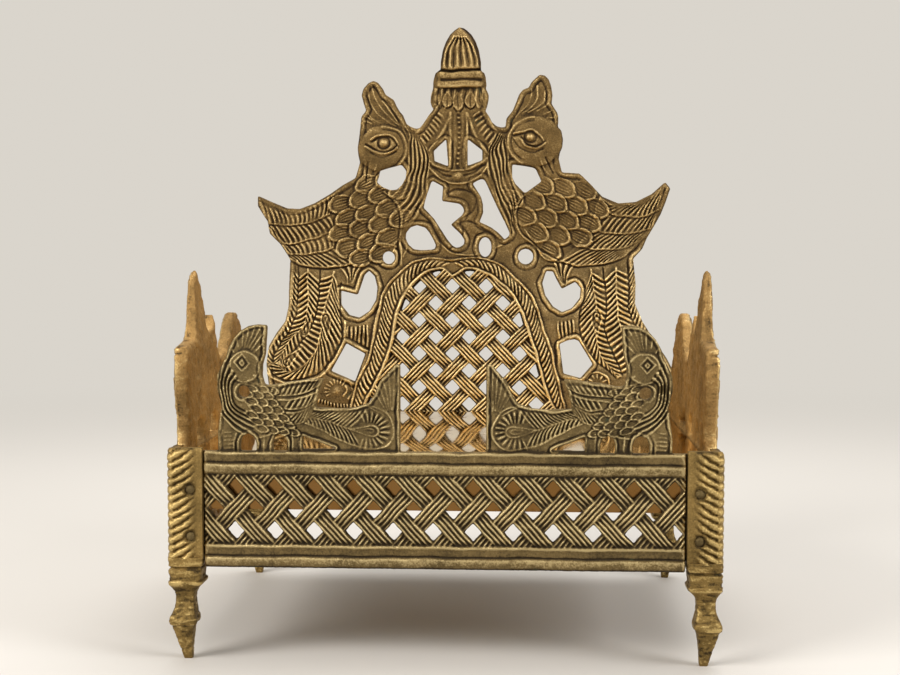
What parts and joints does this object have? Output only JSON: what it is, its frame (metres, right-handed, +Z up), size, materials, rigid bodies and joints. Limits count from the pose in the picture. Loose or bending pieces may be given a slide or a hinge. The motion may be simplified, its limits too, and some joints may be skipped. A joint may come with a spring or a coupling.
{
  "type": "openwork throne",
  "caption": "Small cast brass throne with woven lattice panels, peacock crests, rope-edged posts on moulded legs and a sheet seat that holds a figure.",
  "frame": {"origin": "on the ground under the middle of the throne", "axes": "+Z up, the front faces -Y, +X to the right as seen from the front"},
  "size_m": [0.16, 0.118, 0.2],
  "materials": {
    "cast_brass": "sand-cast, antiqued dark in the recesses, rubbed bright on the ridges",
    "post_brass": "cast and rubbed, brighter than the panels",
    "sheet_brass": "rolled sheet, polished",
    "rivet_brass": "hammered heads"
  },
  "bodies": {
    "root": {"front_panel": "cast_brass", "back_panel": "cast_brass", "left_side_panel": "cast_brass", "right_side_panel": "cast_brass", "front_left_leg": "post_brass", "front_right_leg": "post_brass", "rear_left_leg": "post_brass", "rear_right_leg": "post_brass", "seat_plate": "sheet_brass", "front_left_end_rivet_upper": "rivet_brass", "front_left_end_rivet_lower": "rivet_brass", "front_left_side_rivet_upper": "rivet_brass", "front_left_side_rivet_lower": "rivet_brass", "front_right_end_rivet_upper": "rivet_brass", "front_right_end_rivet_lower": "rivet_brass", "front_right_side_rivet_upper": "rivet_brass", "front_right_side_rivet_lower": "rivet_brass", "rear_left_end_rivet_upper": "rivet_brass", "rear_left_end_rivet_lower": "rivet_brass", "rear_left_side_rivet_upper": "rivet_brass", "rear_left_side_rivet_lower": "rivet_brass", "rear_right_end_rivet_upper": "rivet_brass", "rear_right_end_rivet_lower": "rivet_brass", "rear_right_side_rivet_upper": "rivet_brass", "rear_right_side_rivet_lower": "rivet_brass"}
  },
  "joints": []
}
